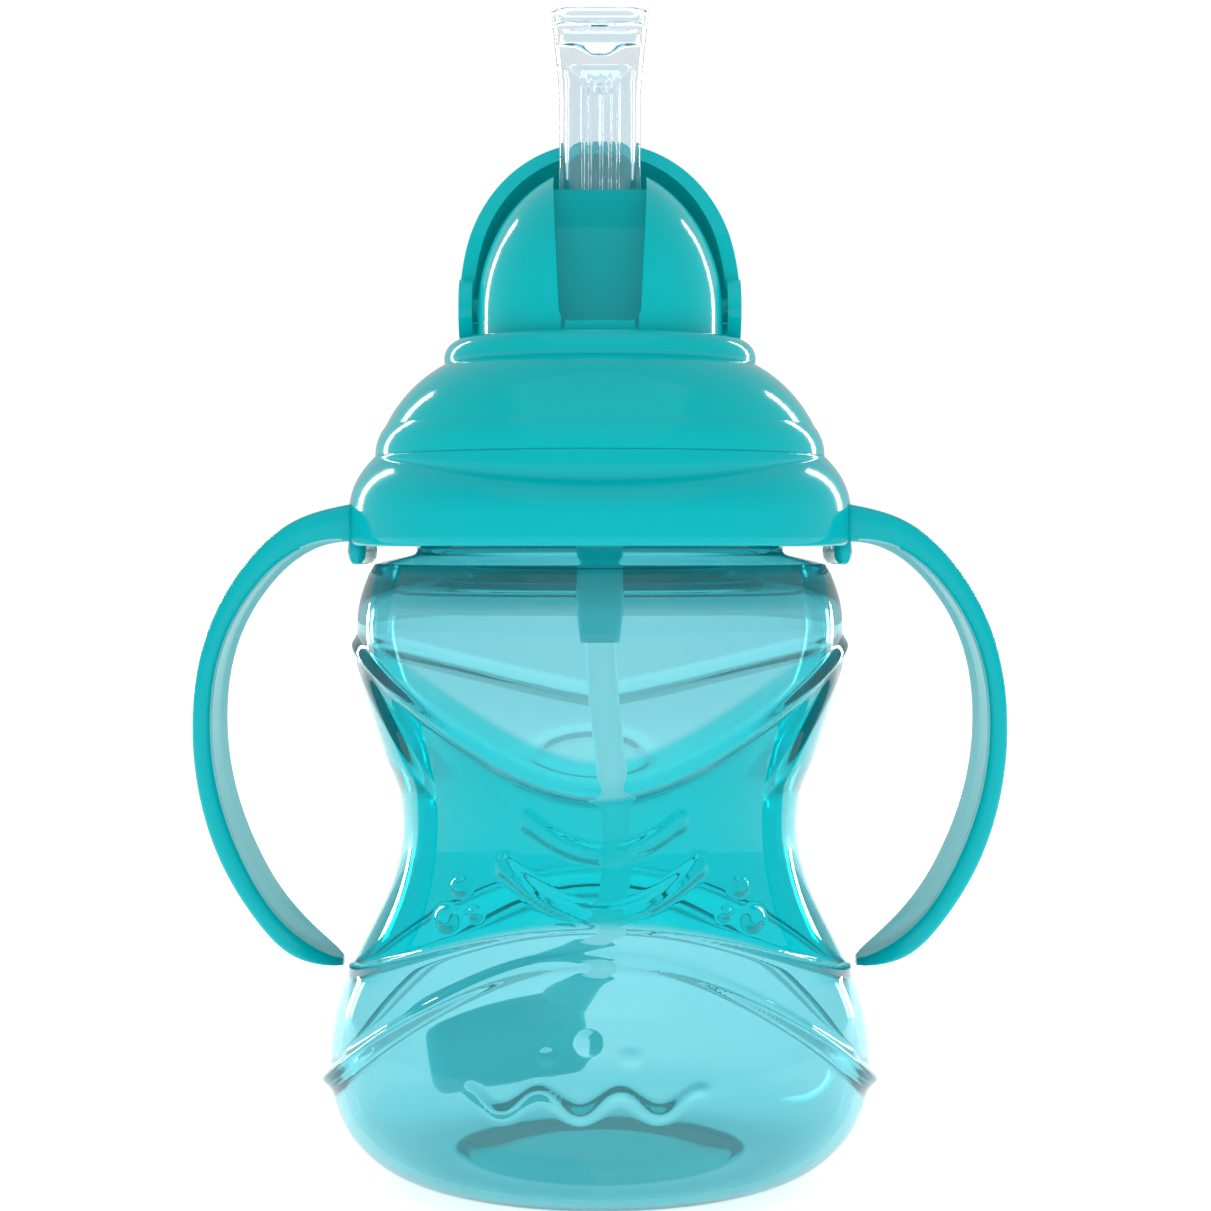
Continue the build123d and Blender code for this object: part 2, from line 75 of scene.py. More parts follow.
def resample(points, step):
    """The same polyline with points about step apart."""
    p = np.array(points, float)
    t = np.concatenate([[0], np.cumsum(np.linalg.norm(np.diff(p, axis=0), axis=1))])
    count = max(2, int(round(t[-1] / step)) + 1)
    s = np.linspace(0, t[-1], count)
    return np.stack([np.interp(s, t, p[:, k]) for k in range(p.shape[1])], axis=1)


def mesh_object(name, verts, faces, material, body):
    """A smooth-shaded mesh in millimetres, riding on a CAD body."""
    data = bpy.data.meshes.new(name)
    data.from_pydata([tuple(v * MM) for v in verts], [], faces)
    data.materials.append(material)
    data.polygons.foreach_set("use_smooth", [True] * len(data.polygons))
    data.update()
    obj = bpy.data.objects.new(name, data)
    bpy.context.collection.objects.link(obj)
    if body:
        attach(obj, body)
    return obj


def stack(rings, start_point=None, end_point=None, endless=False):
    """Vertices and faces of closed loops joined one to the next.

    The end points close the two ends; endless joins the last loop back to the first.
    """
    count = len(rings[0])
    verts = np.concatenate(rings)
    faces = []
    for k in range(len(rings) if endless else len(rings) - 1):
        a, b = k * count, (k + 1) % len(rings) * count
        for i in range(count):
            j = (i + 1) % count
            faces.append((a + i, a + j, b + j, b + i))
    if start_point is not None:
        verts = np.vstack([verts, start_point])
        last = len(verts) - 1
        faces += [(last, (i + 1) % count, i) for i in range(count)]
    if end_point is not None:
        verts = np.vstack([verts, end_point])
        last = len(verts) - 1
        a = (len(rings) - 1) * count
        faces += [(last, a + i, a + (i + 1) % count) for i in range(count)]
    return verts, faces


def bump_at(distance, half_width):
    """A rounded ridge: 1 on its line, falling to 0 past its half width."""
    return np.exp(-np.square(distance / (0.62 * half_width)))


def step_up(value, low, high):
    """0 below low, 1 above high, smooth between."""
    t = np.clip((value - low) / (high - low), 0, 1)
    return t * t * (3 - 2 * t)


def bar(x, z, ends, sag, half_width):
    """A rounded bar along a shallow arc that hangs by sag between its two ends."""
    (x0, z0), (x1, z1) = ends
    s = np.clip((x - x0) / (x1 - x0), 0, 1)
    cx = x0 + (x1 - x0) * s
    cz = z0 + (z1 - z0) * s - sag * 4 * s * (1 - s)
    slope = np.arctan((z1 - z0 - sag * 4 * (1 - 2 * s)) / (x1 - x0))
    away = np.hypot(x - cx, (z - cz) * np.cos(slope))
    return 1 - step_up(away, half_width * 0.7, half_width * 1.25)


# ------------------------------------------------------------------ materials
def new_material(name):
    """A node material with its Principled shader ready to set."""
    m = bpy.data.materials.new(name)
    m.use_nodes = True
    shader = m.node_tree.nodes["Principled BSDF"]
    return m, m.node_tree, shader


def noise_bump(tree, shader, scale, strength, distance=0.0002):
    """Fine moulded-surface unevenness."""
    coords = tree.nodes.new("ShaderNodeTexCoord")
    noise = tree.nodes.new("ShaderNodeTexNoise")
    noise.inputs["Scale"].default_value = scale
    noise.inputs["Detail"].default_value = 2.0
    bump = tree.nodes.new("ShaderNodeBump")
    bump.inputs["Strength"].default_value = strength
    bump.inputs["Distance"].default_value = distance
    tree.links.new(coords.outputs["Object"], noise.inputs["Vector"])
    tree.links.new(noise.outputs["Fac"], bump.inputs["Height"])
    tree.links.new(bump.outputs["Normal"], shader.inputs["Normal"])


def glossy_plastic(name, colour, rough=0.14, gloss=0.3, painted_glow=None):
    """Moulded plastic; gloss is its specular level. A glow colour, if given, is painted light: emission
    standing in for light that comes through it.
    """
    m, tree, shader = new_material(name)
    shader.inputs["Base Color"].default_value = (*colour, 1)
    shader.inputs["Roughness"].default_value = rough
    shader.inputs["Specular IOR Level"].default_value = gloss
    # painted light: an emission glow standing in for light that comes through the plastic
    if painted_glow:
        shader.inputs["Emission Color"].default_value = (*painted_glow, 1)
        shader.inputs["Emission Strength"].default_value = 1.0
    noise_bump(tree, shader, 60, 0.05)
    return m


def clear_plastic(
    name, colour, rough=0.05, ior=1.35, clarity=1.0, gloss=0.5, darker_and_shade_colour=None, soak=None, painted_glow=None
):
    """Clear plastic, darker where light goes further through it if soak is given.

    The darker colour, if given, goes where the attribute waist is 1: painted shade at the shoulder, a darker
    teal elsewhere.
    soak is how much red, green and blue the plastic takes up per metre. A glow colour, if given, is painted
    light: emission for the light it scatters.
    """
    m, tree, shader = new_material(name)
    shader.inputs["Base Color"].default_value = (*colour, 1)
    shader.inputs["Roughness"].default_value = rough
    shader.inputs["IOR"].default_value = ior
    shader.inputs["Transmission Weight"].default_value = clarity
    shader.inputs["Specular IOR Level"].default_value = gloss
    # the darker colour by the attribute waist: painted shade on the shoulder, a darker teal elsewhere
    if darker_and_shade_colour:
        darker_and_shade = tree.nodes.new("ShaderNodeAttribute")
        darker_and_shade.attribute_name = "waist"
        mix = tree.nodes.new("ShaderNodeMix")
        mix.data_type = "RGBA"
        mix.inputs["A"].default_value = (*colour, 1)
        mix.inputs["B"].default_value = (*darker_and_shade_colour, 1)
        tree.links.new(darker_and_shade.outputs["Fac"], mix.inputs["Factor"])
        tree.links.new(mix.outputs["Result"], shader.inputs["Base Color"])
    if soak:
        strength = max(soak)
        absorb = tree.nodes.new("ShaderNodeVolumeAbsorption")
        absorb.inputs["Color"].default_value = (*(1 - part / strength for part in soak), 1)
        absorb.inputs["Density"].default_value = strength
        tree.links.new(absorb.outputs["Volume"], tree.nodes["Material Output"].inputs["Volume"])
    # painted light: an emission glow standing in for light that the plastic scatters
    if painted_glow:
        shader.inputs["Emission Color"].default_value = (*painted_glow, 1)
        shader.inputs["Emission Strength"].default_value = 1.0
    noise_bump(tree, shader, 40, 0.04)
    return m


# The glow colours given below are painted light: emission standing in for light through the plastic.
teal = glossy_plastic("teal_gloss", (0.0, 0.50, 0.53), rough=0.1, gloss=0.15)
# the flip cover: the lid's teal with a faint painted glow, a lit copy of the same plastic
teal_cover_painted_glow = glossy_plastic(
    "teal_cover_gloss_painted_glow", (0.0, 0.50, 0.53), rough=0.1, gloss=0.15, painted_glow=(0.0, 0.06, 0.06)
)
teal_handle = glossy_plastic("teal_handle_gloss", (0.0, 0.49, 0.54), rough=0.12, gloss=0.15)
# painted light: a paler copy of the handle's teal for the handles' inner faces
handle_inner_painted_light = glossy_plastic("teal_handle_inner_painted_light", (0.26, 0.68, 0.71), rough=0.4, gloss=0.1)
bottle_clear = clear_plastic(
    "bottle_clear", (0.60, 0.79, 0.82), rough=0.02, ior=1.30, clarity=0.95,
    darker_and_shade_colour=(0.0, 0.54, 0.56), soak=(230, 62, 48), painted_glow=(0.0, 0.026, 0.027),
)
silicone = clear_plastic(
    "soft_silicone_clear", (0.88, 0.95, 0.98), rough=0.03, ior=1.40, clarity=0.98, gloss=0.2,
    painted_glow=(0.002, 0.010, 0.013),
)
sleeve_teal = clear_plastic(
    "sleeve_silicone", (0.03, 0.62, 0.65), rough=0.35, ior=1.35, clarity=0.15, painted_glow=(0.0, 0.12, 0.13)
)
straw_clear = clear_plastic(
    "straw_clear", (0.80, 0.97, 0.98), rough=0.3, ior=1.3, clarity=0.35, painted_glow=(0.16, 0.17, 0.17)
)
weight_clear = clear_plastic(
    "weight_shell_clear", (0.06, 0.74, 0.78), rough=0.3, ior=1.3, clarity=0.15, painted_glow=(0.0, 0.14, 0.15)
)
seal_white = glossy_plastic("seal_silicone", (0.30, 0.68, 0.70), rough=0.5, gloss=0.2)
steel, steel_tree, steel_shader = new_material("turned_steel")
steel_shader.inputs["Base Color"].default_value = (0.50, 0.55, 0.56, 1)
steel_shader.inputs["Metallic"].default_value = 1.0
steel_shader.inputs["Roughness"].default_value = 0.38
noise_bump(steel_tree, steel_shader, 400, 0.1)


def dress(obj, material):
    """Gives a CAD node its one material."""
    obj.data.materials.clear()
    obj.data.materials.append(material)


dress(nodes["screw_lid"], teal)
dress(nodes["flip_cover"], teal_cover_painted_glow)
dress(nodes["weight_barrel"], weight_clear)
dress(nodes["weight_cap"], weight_clear)
dress(nodes["weight_core"], steel)
dress(nodes["lid_seal"], seal_white)

# ------------------------------------------------------------------ bottle
segments = 360
turn = np.linspace(0, 2 * math.pi, segments, endpoint=False)
round_x = np.sin(turn)           # 0 is the front, so x grows to the cup's right-hand side
round_y = -np.cos(turn)
aside = np.abs(round_x)          # 0 at front and back, 1 at the two sides
facing = np.cos(turn)            # 1 at the front, -1 at the back

side_points = [
    (24.5, 0), (27.6, 0.3), (31.0, 1.15), (35.0, 3.7), (38.3, 8.2), (39.7, 15.5),
    (38.5, 24.5), (34.8, 33.2), (31.0, 41.0), (29.2, 51.5), (31.2, 61.2), (34.0, 70.0),
    (35.6, 76.5), (35.8, 79.5), (35.2, 83.8), (34.0, 87.2),
]
wall = 1.6
foot_under, floor_top, floor_darker_end = 0.7, 1.8, 22
# the shoulder's share of the darker colour is painted shade, under the lid and handle band
neck_radius, bore_radius, shoulder_foot, shoulder_painted_shade = 27.0, 25.0, 82.5, 0.5
side = smooth_curve(side_points, 250)
along = np.gradient(side, axis=0)
along /= np.linalg.norm(along, axis=1)[:, None]
outward = np.stack([along[:, 1], -along[:, 0]], axis=1)
inner_side = (side - outward * wall)[::5][::-1]


def v_line(a, f):
    """Height of the rib that dips in a V at the front and a shallower one at the back.

    a is 0 at the front and back and 1 at the sides; f is above 0 on the front half.
    """
    front = 57.4 + 19.4 * a ** 1.9
    back = 67.2 + 8.8 * a ** 1.3
    return np.where(f > 0, front, back)


def low_arch(a):
    """Height of the rounded bead below the waist."""
    return 35.4 - 22.2 * a ** 2.3


def high_arch(a):
    """Height of the fine line above that bead."""
    return 39.6 - 10.2 * a ** 2.2


def relief(radius, z):
    """How far the bottle's moulded pattern stands out, round one ring."""
    x = radius * round_x
    front = facing > 0
    out = np.zeros(segments)
    # the V rib and the bead under the waist
    out += 1.0 * bump_at(z - v_line(aside, facing), 1.7)
    out += (0.85 + 0.5 * aside ** 4) * bump_at(z - low_arch(aside), 2.1)
    out += 0.45 * bump_at(z - high_arch(aside), 1.1)
    # wings at the two sides, below the V
    edge = 25.3 + (z - 59.5) * 0.60
    wing = step_up(np.abs(x) - edge, -0.9, 1.1)
    wing *= step_up(z, 54.5, 61.0) * (1 - step_up(z - v_line(aside, facing), -1.6, 0.2))
    out += 0.75 * wing
    # front: two smiling bars, and three dots to each side of them
    bars = np.maximum(
        bar(x, z, ((-9.6, 53.6), (10.8, 53.6)), 4.4, 1.15),
        bar(x, z, ((-13.0, 47.3), (13.4, 47.3)), 6.2, 1.15),
    )
    dots = np.zeros(segments)
    for dx, dz, size in ((19.3, 44.0, 1.25), (21.2, 39.6, 1.6), (17.2, 40.6, 0.85)):
        away = np.hypot(np.abs(x) - dx, z - dz)
        dots = np.maximum(dots, 1 - step_up(away, size * 0.6, size * 1.2))
    # front of the bulb: a plain wave with three drops above it
    swell = 17.6 + 1.5 * np.sin(x * 2 * math.pi / 10.5)
    wave = bump_at(z - swell, 1.25) * (1 - step_up(np.abs(x + 1.5), 15.2, 16.6))
    for dx, dz, size in ((-7.0, 23.6, 1.1), (-1.5, 25.4, 1.5), (4.0, 23.6, 1.1)):
        away = np.hypot(x - dx, z - dz)
        wave = np.maximum(wave, 1 - step_up(away, size * 0.6, size * 1.2))
    out += np.where(front, 0.6 * bars + 0.6 * dots + 0.42 * wave, 0)
    # back: an oval ring
    oval = np.hypot((x + 1.5) / 9.0, (z - 58.0) / 3.6)
    out += np.where(front, 0, 0.5 * bump_at((oval - 1) * 4.0, 0.9))
    return out


def ring_at(radius, z):
    """One level ring of the bottle's vertices; radius and z may vary round it."""
    return np.stack([radius * round_x, radius * round_y, np.broadcast_to(z, (segments,))], axis=1)


underside = [(0.4, foot_under), (12, foot_under), (19.5, foot_under), (20.0, 0.35), (20.3, 0.0), (22.5, 0.0)]
loops = [ring_at(r, z) for r, z in underside]
# the darker colour marks the bottom discs, the foot, the waist between the V rib and the fine line, and the
# shoulder, where it is painted shade
darker_and_shade = [np.ones(segments)] * 4 + [np.zeros(segments)] * 2
for (r, z), (nr, nz) in zip(side, outward):
    fade = step_up(z, 2.0, 6.0) * (1 - step_up(z, 84.0, 86.5))
    out = relief(r, z) * fade
    loops.append(ring_at(r + nr * out, z + nz * out))
    below_v = 1 - step_up(z - v_line(aside, 1), -1.2, 0.4)
    above_arch = step_up(z - high_arch(aside), -0.6, 0.6)
    # painted shade: the shoulder darkened under the lid and handle band
    shoulder = shoulder_painted_shade * step_up(z, shoulder_foot, 86.5)
    foot = 0.4 * (1 - step_up(z, 4.0, 9.0))
    darker_and_shade.append(np.maximum(below_v * above_arch, shoulder + foot))

# shoulder, neck with its bead and right-hand thread, lip, then down the inside
shoulder_path = [
    (34.0, 87.2), (33.2, 88.5), (31.8, 88.9), (27.4, 89.9), (neck_radius, 90.4), (neck_radius, 91.4),
]
bead_path = [
    (neck_radius, 91.4), (28.8, 93.7), (28.8, 94.7), (28.6, 94.8), (27.1, 94.8), (neck_radius, 95.0),
]
for path, step in ((shoulder_path, 0.5), (bead_path, 0.4)):
    loops += [ring_at(r, z) for r, z in resample(path, step)[1:]]
pitch, thread_low, thread_turns, thread_height = 4.0, 97.6, 1.2, 1.15
helix_angle = (turn - math.pi / 2) % (2 * math.pi)
for z in np.arange(95.3, 103.7, 0.28):
    height = np.zeros(segments)
    for lap in (0, 1):
        laps = helix_angle / (2 * math.pi) + lap
        centre = thread_low + pitch * laps
        present = step_up(laps, 0.0, 0.03) * (1 - step_up(laps, thread_turns - 0.03, thread_turns))
        height = np.maximum(height, present * (1 - step_up(np.abs(z - centre), 0.42, 1.0)))
    loops.append(ring_at(neck_radius + thread_height * height, z))
lip = [(neck_radius, 103.8), (26.6, 104.15), (26.2, 104.2), (25.6, 104.2), (25.2, 104.05)]
bore = [(bore_radius, z) for z in (103.7, 102, 98, 94, 90.2)] + [(25.2, 89.2), (26.0, 88.8), (30.6, 87.6)]
loops += [ring_at(r, z) for r, z in [*lip, *bore, *inner_side[1:-1]]]
# the neck and bore above the shoulder's foot get the same painted shade
for loop in loops[len(darker_and_shade):]:
    darker_and_shade.append(np.full(segments, shoulder_painted_shade if loop[0, 2] > shoulder_foot else 0.0))
for r in (24.2, 22.0, 21.4, 12.0, 0.4):
    loops.append(ring_at(r, floor_top))
    darker_and_shade.append(np.full(segments, 1.0 if r < floor_darker_end else 0.0))
verts, faces = stack(loops, start_point=(0, 0, foot_under), end_point=(0, 0, floor_top))
bottle = mesh_object("bottle", verts, faces, bottle_clear, "cup")
# the darker teal and the shoulder's painted shade go to the material as the attribute waist
darker_and_shade_layer = bottle.data.attributes.new("waist", "FLOAT", "POINT")
darker_and_shade_layer.data.foreach_set("value", np.concatenate(darker_and_shade + [np.zeros(2)]).astype(np.float32))
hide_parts("cup_body")

# ------------------------------------------------------------------ handle ring
# One moulding in place of the CAD's: a band with a dipping groove, two clips and two handles.
seam_high, seam_drop = 104.2, 4.1
dip = seam_high - seam_drop * facing ** 2
bulge_top, bulge_radius, groove_radius = 95.4, 37.0, 33.3


def band_radius(z):
    """Outer radius of the band round one level, bulging below the groove."""
    t = np.clip((z - bulge_top) / (dip - bulge_top), 0, 1)
    below = bulge_radius - (bulge_radius - groove_radius) * t ** 2.4
    room = np.maximum(seam_high + 0.05 - dip, 0.2)
    u = np.clip((z - dip) / room, 0, 1)
    above = groove_radius + 0.35 * np.sin(math.pi * u) * np.clip(room / 4, 0, 1)
    return np.where(z < dip, below, above)


band = [ring_at(r, z) for r, z in ((35.0, 91.6), (35.2, 91.25), (35.6, 91.15), (36.5, 91.15))]
for z in np.concatenate([[91.3, 91.6], np.linspace(92.2, 104.1, 60)]):
    radius = band_radius(z) - 0.3 * (1 - step_up(z, 91.0, 92.2))
    band.append(ring_at(radius, z))
band_inside = [
    (33.15, 104.3), (32.9, 103.8), (31.2, 103.7), (31.2, 102.4), (33.8, 99.6), (35.0, 96.4),
    (27.7, 96.35), (27.6, 96.2), (27.6, 95.0), (27.7, 94.85), (35.0, 94.85),
]
band += [ring_at(r, z) for r, z in band_inside]

handle_outer = smooth_curve([
    (35.6, 97.4), (44.2, 94.9), (51.3, 88.7), (57.0, 78.4), (59.1, 66.0),
    (58.3, 56.0), (55.0, 45.4), (49.3, 36.2), (43.7, 30.9), (37.8, 28.9),
], 90)
handle_inside = smooth_curve([
    (35.6, 91.9), (41.0, 91.5), (45.2, 89.6), (50.1, 84.9), (54.2, 77.8), (56.3, 66.0),
    (55.3, 56.2), (51.4, 45.2), (44.4, 35.3), (38.0, 30.9),
], 90)
half_depth, rim_width, channel_deep = 8.75, 2.2, 0.7
tongue_start = 0.84              # share of the handle's length at which its end starts to taper


def strap_section(inside, outside, half, channel):
    """One closed loop across the strap, channelled on its inner face and round at its corners."""
    thick = float(np.linalg.norm(outside - inside))
    way = (outside - inside) / thick
    corner = min(1.25, 0.45 * thick, 0.45 * half)
    loop = []
    for y in np.linspace(corner - half, half - corner, 18):
        loop.append((channel * (1 - step_up(abs(y), half - rim_width - 0.8, half - rim_width)), y))
    for u, y, start in (
        (corner, half - corner, -180), (thick - corner, half - corner, -270),
        (thick - corner, corner - half, 0), (corner, corner - half, -90),
    ):
        for k in range(1, 7):
            a = math.radians(start - 15 * k)
            loop.append((u + corner * math.cos(a), y + corner * math.sin(a)))
    return np.array([(*(inside + way * u), y) for u, y in loop])[:, [0, 2, 1]]


def handle_mesh(out_side):
    """The right-hand handle, or its mirror image for out_side of -1."""
    sections = []
    stations = len(handle_outer)
    for k, (a, b) in enumerate(zip(handle_inside, handle_outer)):
        t = np.clip((k / (stations - 1) - tongue_start) / (1 - tongue_start), 0, 1)
        rounding = math.sqrt(1 - 0.96 * t * t)
        middle_point = (a + b) / 2
        thin = 1 - 0.45 * t ** 3
        inside = middle_point + (a - middle_point) * thin
        outside = middle_point + (b - middle_point) * thin
        sections.append(strap_section(inside, outside, half_depth * rounding, channel_deep * (1 - t)))
    first, last = sections[0].mean(axis=0), sections[-1].mean(axis=0)
    points, quads = stack(sections, start_point=first, end_point=last)
    if out_side < 0:
        points = points * (-1, 1, 1)
        quads = [tuple(reversed(q)) for q in quads]
    return points, quads


def clip_mesh(out_side):
    """The small rounded clip that hangs below the band where a handle joins it."""
    sections = []
    for z, inside, outside, half in (
        (88.5, 35.9, 36.3, 7.4), (88.7, 35.4, 36.7, 8.1), (89.4, 35.0, 37.05, 8.6),
        (90.5, 34.9, 37.15, 8.75), (92.6, 35.1, 36.9, 8.75),
    ):
        spread = np.linspace(-half, half, 15)
        outer_arc = [(math.sqrt(outside ** 2 - y * y), y, z) for y in spread]
        inner_arc = [(math.sqrt(inside ** 2 - y * y), y, z) for y in spread[::-1]]
        sections.append(np.array(outer_arc + inner_arc) * (out_side, 1, 1))
    points, quads = stack(sections, sections[0].mean(axis=0), sections[-1].mean(axis=0))
    if out_side < 0:
        quads = [tuple(reversed(q)) for q in quads]
    return points, quads


def join_meshes(pieces):
    """One vertex array and face list from several."""
    points, quads, shift = [], [], 0
    for piece_points, piece_quads in pieces:
        points.append(piece_points)
        quads += [tuple(i + shift for i in q) for q in piece_quads]
        shift += len(piece_points)
    return np.vstack(points), quads


ring_parts = [stack(band, endless=True)]
ring_parts += [make(out_side) for make in (handle_mesh, clip_mesh) for out_side in (1, -1)]
ring_verts, ring_faces = join_meshes(ring_parts)
ring_look = mesh_object("handle_ring_look", ring_verts, ring_faces, teal_handle, "cup")
ring_look.data.materials.append(handle_inner_painted_light)
# painted light: the handles' inner faces, which look back at the middle of the finger gap, get a paler copy
# of the teal
strap_from_x, strap_below_z, gap_x, gap_z = 0.0378, 0.0925, 0.036, 0.062
for polygon in ring_look.data.polygons:
    centre = polygon.center
    if abs(centre.x) > strap_from_x and centre.z < strap_below_z:
        gap_middle = Vector((math.copysign(gap_x, centre.x), 0, gap_z))
        if (centre - gap_middle).normalized().dot(polygon.normal) < -0.6:
            polygon.material_index = 1
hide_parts("handle_ring")

# ------------------------------------------------------------------ silicone spout
spout_y = 4.0
around = 192
tube_width, tube_depth, bore_width, bore_depth = 12.2, 6.4, 9.6, 3.8
tip_foot, tip_rise, tip_steps = 158.7, 12.1, 12
crease_height, crease_reach, crease_pinch = 145.0, 2.4, 0.9


def stadium(width, depth, z, centre_y=spout_y):
    """One closed loop of a flat-sided oval, wide along x."""
    w, d = width / 2, depth / 2
    flat = w - d
    length = 4 * flat + 2 * math.pi * d
    points = []
    for s in np.linspace(0, length, around, endpoint=False):
        if s < 2 * flat:
            points.append((-flat + s, -d))
        elif s < 2 * flat + math.pi * d:
            a = (s - 2 * flat) / d - math.pi / 2
            points.append((flat + d * math.cos(a), d * math.sin(a)))
        elif s < 4 * flat + math.pi * d:
            points.append((flat - (s - 2 * flat - math.pi * d), d))
        else:
            a = (s - 4 * flat - math.pi * d) / d + math.pi / 2
            points.append((-flat + d * math.cos(a), d * math.sin(a)))
    return np.array([(x, y + centre_y, z) for x, y in points])


def circle(radius, z):
    """One closed round loop of the spout's sleeve."""
    return stadium(2 * radius + 0.001, 2 * radius, z)


def creased(width, depth, z):
    """A loop of the spout's tube, thinned at the back where the silicone folds."""
    pinch = crease_pinch * math.exp(-((z - crease_height) / crease_reach) ** 2)
    return stadium(width, depth - pinch, z, spout_y - pinch / 2)


sleeve = [(2.95, 76.8), (3.55, 81.8), (3.55, 90), (3.55, 102), (3.55, 115.4)]
flange = [(16.6, 10.8, 115.6), (17.2, 11.4, 116.0), (17.2, 11.4, 117.6), (16.8, 11.0, 117.9)]
outer = [circle(*level) for level in sleeve] + [stadium(*level) for level in flange]
outer.append(stadium(tube_width, tube_depth, 117.95))
for z in np.linspace(119, tip_foot, 64):
    outer.append(creased(tube_width, tube_depth, z))
for k in range(1, tip_steps + 1):
    t = k / tip_steps
    flare = t ** 1.15
    outer.append(stadium(tube_width + 2.4 * flare, tube_depth + 0.6 * flare, tip_foot + tip_rise * t))
outer.append(stadium(14.5, 6.9, 171.05))
outer.append(stadium(14.1, 6.5, 171.2))
inner = [stadium(12.9, 5.2, 171.15), stadium(12.5, 4.8, 170.9)]
for z in np.linspace(170.4, 169.3, 3):
    inner.append(stadium(12.3, 4.7, z))
# recessed skin, then the clear chamber and the bowl-shaped valve below it
skin_top = [stadium(12.0, 4.5, 169.15), stadium(6.0, 2.4, 169.05), stadium(3.4, 0.9, 169.0)]
skin_top.append(stadium(3.0, 0.5, 168.75))
outer_verts, outer_faces = stack(outer + inner + skin_top, end_point=(0, spout_y, 168.7))
chamber = [
    (3.0, 0.8, 168.3), (8.0, 3.0, 168.3), (10.9, 3.9, 168.2), (11.2, 4.1, 168.0), (11.0, 4.0, 166.3),
    (10.6, 3.8, 166.0), (7.4, 2.8, 165.7), (4.4, 1.6, 164.9), (2.6, 0.8, 164.5),
]
chamber_loops = [stadium(*level) for level in chamber]
chamber_verts, chamber_faces = stack(
    chamber_loops, start_point=(0, spout_y, 168.3), end_point=(0, spout_y, 164.4)
)
rib_places, rib_half_width, rib_height = (-2.5, -1.5, 0.2, 1.5, 2.7), 0.24, 0.42


def ribbed(loop):
    """The same loop with the fine ribs that run down inside the spout's front and back."""
    out = loop.copy()
    ribs = sum(np.exp(-np.square((loop[:, 0] - place) / rib_half_width)) for place in rib_places)
    out[:, 1] -= rib_height * ribs * np.sign(loop[:, 1] - spout_y)
    return out


# the valve's underside and its small nub, then the ribbed bore and the sleeve's straight one
valve = [
    (1.6, 1.0, 158.75), (2.3, 1.5, 159.3), (2.2, 1.4, 159.9), (1.3, 0.9, 160.3), (3.4, 1.6, 160.8),
    (6.2, 2.7, 161.2), (8.4, 3.4, 162.0), (9.6, 3.8, 162.9), (9.9, 3.9, 162.7), (9.9, 3.9, 161.6),
]
tube = [stadium(*level) for level in valve]
for z in np.linspace(160.8, 119.5, 66):
    tube.append(ribbed(creased(bore_width, bore_depth, z)))
tube.append(stadium(8.0, 3.4, 118.2))
tube += [circle(*level) for level in ((1.6, 117.4), (1.6, 100), (1.6, 84.2), (2.3, 84.0), (2.3, 76.9))]
tube_verts, tube_faces = stack(tube, start_point=(0, spout_y, 158.65))

verts, faces = join_meshes(
    [(outer_verts, outer_faces), (chamber_verts, chamber_faces), (tube_verts, tube_faces)]
)
# the sleeve's lower end joins its outside to its bore
bore_end = len(outer_verts) + len(chamber_verts) + (len(tube) - 1) * around
for i in range(around):
    j = (i + 1) % around
    faces.append((j, i, bore_end + i, bore_end + j))
spout = mesh_object("silicone_spout", verts, faces, silicone, None)
spout.data.materials.append(sleeve_teal)
tinted_below = 0.1162
for polygon in spout.data.polygons:
    if polygon.center.z < tinted_below:
        polygon.material_index = 1
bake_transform(spout)
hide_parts("spout_base", "spout_bend", "spout_tip")

# ------------------------------------------------------------------ straw
straw_route = [
    (0.0, 0.0040, 0.0840), (0.0, 0.0040, 0.0725), (0.0019, 0.0050, 0.0570),
    (0.0029, 0.0080, 0.0430), (0.0012, 0.0126, 0.0320), (-0.0028, 0.0158, 0.0252),
]
curve = bpy.data.curves.new("straw_route", "CURVE")
curve.dimensions = "3D"
curve.resolution_u = 12
spline = curve.splines.new("NURBS")
spline.points.add(len(straw_route) - 1)
for point, place in zip(spline.points, straw_route):
    point.co = (*place, 1)
spline.order_u = 3
spline.use_endpoint_u = True
route = bpy.data.objects.new("straw_route", curve)
bpy.context.collection.objects.link(route)
route_mesh = bpy.data.meshes.new_from_object(route)
straw_path = np.array([tuple(v.co) for v in route_mesh.vertices]) / MM
bpy.data.objects.remove(route)

ways = np.gradient(straw_path, axis=0)
ways /= np.linalg.norm(ways, axis=1)[:, None]
straw_around = np.linspace(0, 2 * math.pi, 28, endpoint=False)
straw_radius, straw_bore = 2.28, 1.6


def straw_loop(centre, way, radius):
    """One ring of the straw, square to its route."""
    side_way = np.cross(way, (0, 1, 0))
    side_way /= np.linalg.norm(side_way)
    up_way = np.cross(side_way, way)
    return np.array([centre + radius * (math.cos(a) * side_way + math.sin(a) * up_way) for a in straw_around])


straw_loops = [straw_loop(c, w, straw_radius) for c, w in zip(straw_path, ways)]
straw_loops += [straw_loop(c, w, straw_bore) for c, w in zip(straw_path[::-1], ways[::-1])]
straw_verts, straw_faces = stack(straw_loops, endless=True)
straw_faces = [tuple(reversed(f)) for f in straw_faces]
straw = mesh_object("straw", straw_verts, straw_faces, straw_clear, "lid")
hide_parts("straw_tube")


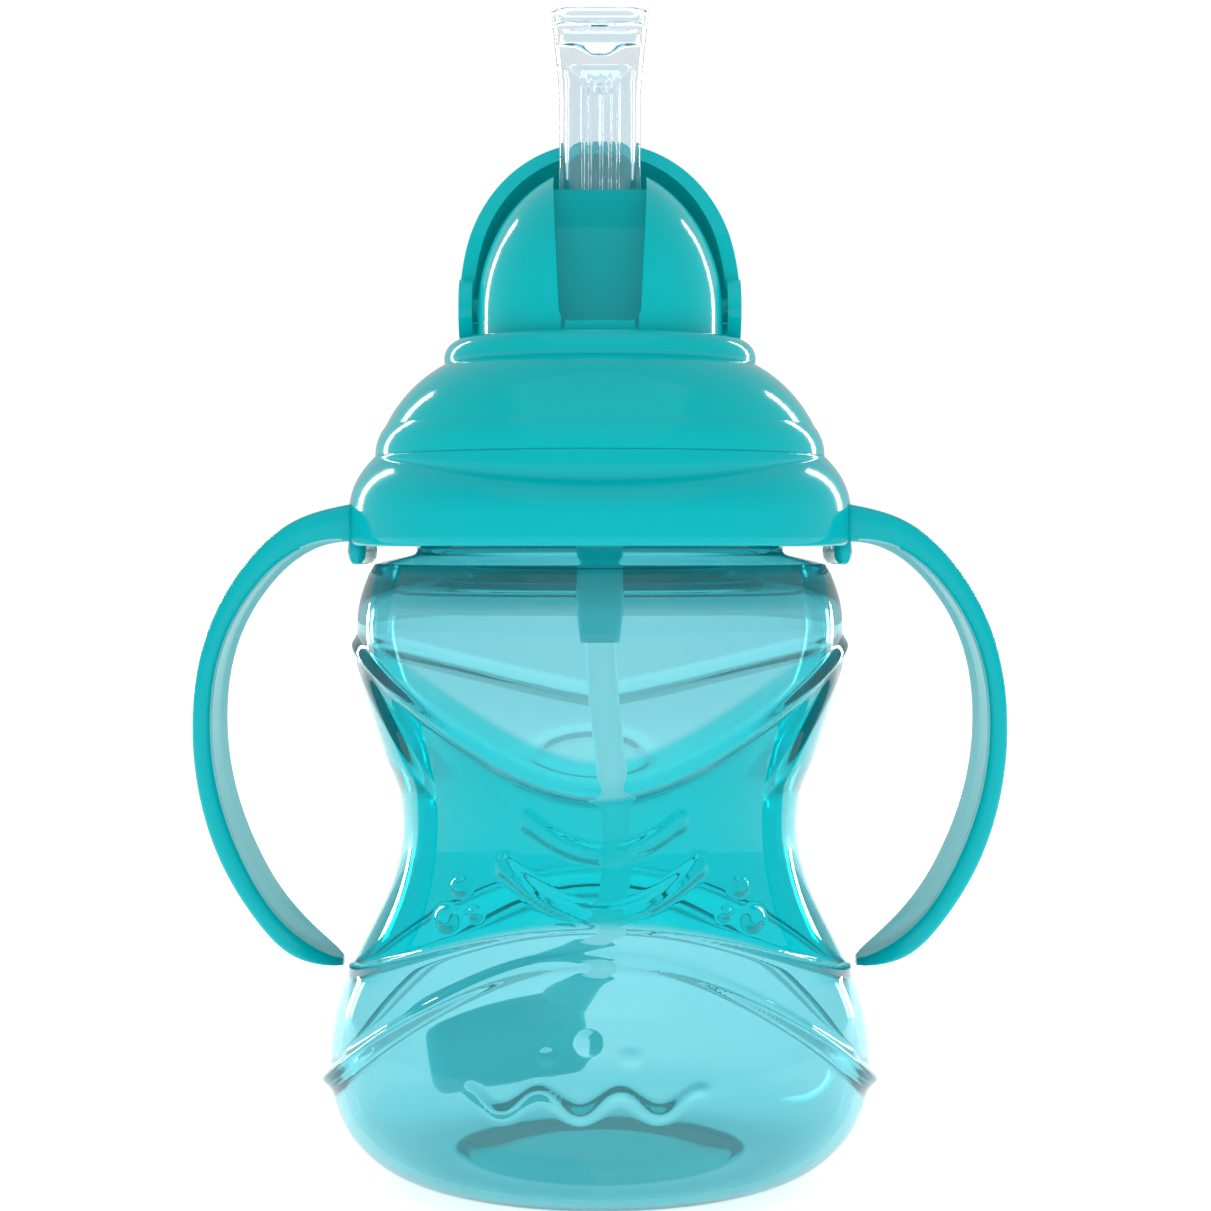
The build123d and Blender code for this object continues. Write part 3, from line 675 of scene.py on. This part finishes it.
# ------------------------------------------------------------------ stage
floor_white, _, floor_shader = new_material("floor_white")
floor_shader.inputs["Base Color"].default_value = (0.8, 0.8, 0.8, 1)
floor_shader.inputs["Roughness"].default_value = 0.8
floor_shader.inputs["Emission Color"].default_value = (1, 1, 1, 1)
floor_shader.inputs["Emission Strength"].default_value = 0.75
bpy.ops.mesh.primitive_plane_add(size=8, location=(0, 0, -0.0002))
floor = bpy.context.object
floor.name = "floor"
floor.data.materials.append(floor_white)


def area_light(name, place, target, width, height, power):
    """A rectangular soft light, turned towards its target."""
    data = bpy.data.lights.new(name, "AREA")
    data.shape = "RECTANGLE"
    data.size = width
    data.size_y = height
    data.energy = power
    lamp = bpy.data.objects.new(name, data)
    bpy.context.collection.objects.link(lamp)
    lamp.location = place
    lamp.rotation_euler = (Vector(target) - Vector(place)).to_track_quat("-Z", "Y").to_euler()


middle = (0, 0, 0.09)
area_light("left_strip", (-0.55, 0.62, 0.20), middle, 0.05, 0.8, 3.5)
area_light("right_strip", (0.55, 0.62, 0.20), middle, 0.05, 0.8, 3.5)
area_light("top_box", (0, -0.5, 1.1), middle, 1.4, 1.4, 3)

world = bpy.data.worlds.new("studio")
bpy.context.scene.world = world
world.use_nodes = True
wires = world.node_tree
sky = wires.nodes["Background"]
sky.inputs["Color"].default_value = (1, 1, 1, 1)
# the world's brightness as a light, through the clear plastic, and as the plain background
rays = wires.nodes.new("ShaderNodeLightPath")
plain_level, through_level, seen_level = 0.56, 0.80, 1.05
level = wires.nodes.new("ShaderNodeValue")
level.outputs[0].default_value = plain_level
for ray, bright in (("Is Transmission Ray", through_level), ("Is Camera Ray", seen_level)):
    mix = wires.nodes.new("ShaderNodeMix")
    mix.data_type = "FLOAT"
    wires.links.new(rays.outputs[ray], mix.inputs["Factor"])
    wires.links.new(level.outputs[0], mix.inputs["A"])
    mix.inputs["B"].default_value = bright
    level = mix
wires.links.new(level.outputs["Result"], sky.inputs["Strength"])

# ------------------------------------------------------------------ camera
lens_data = bpy.data.cameras.new("camera")
lens_data.sensor_width = 36.0
lens_data.lens = 71.3
lens_data.shift_x = 0.0046
lens_data.shift_y = -0.0458
camera = bpy.data.objects.new("camera", lens_data)
bpy.context.collection.objects.link(camera)
camera.location = (0, -0.3552, 0.0906)
camera.rotation_euler = (math.radians(90), 0, 0)
bpy.context.scene.camera = camera
bpy.context.scene.view_settings.view_transform = "Standard"
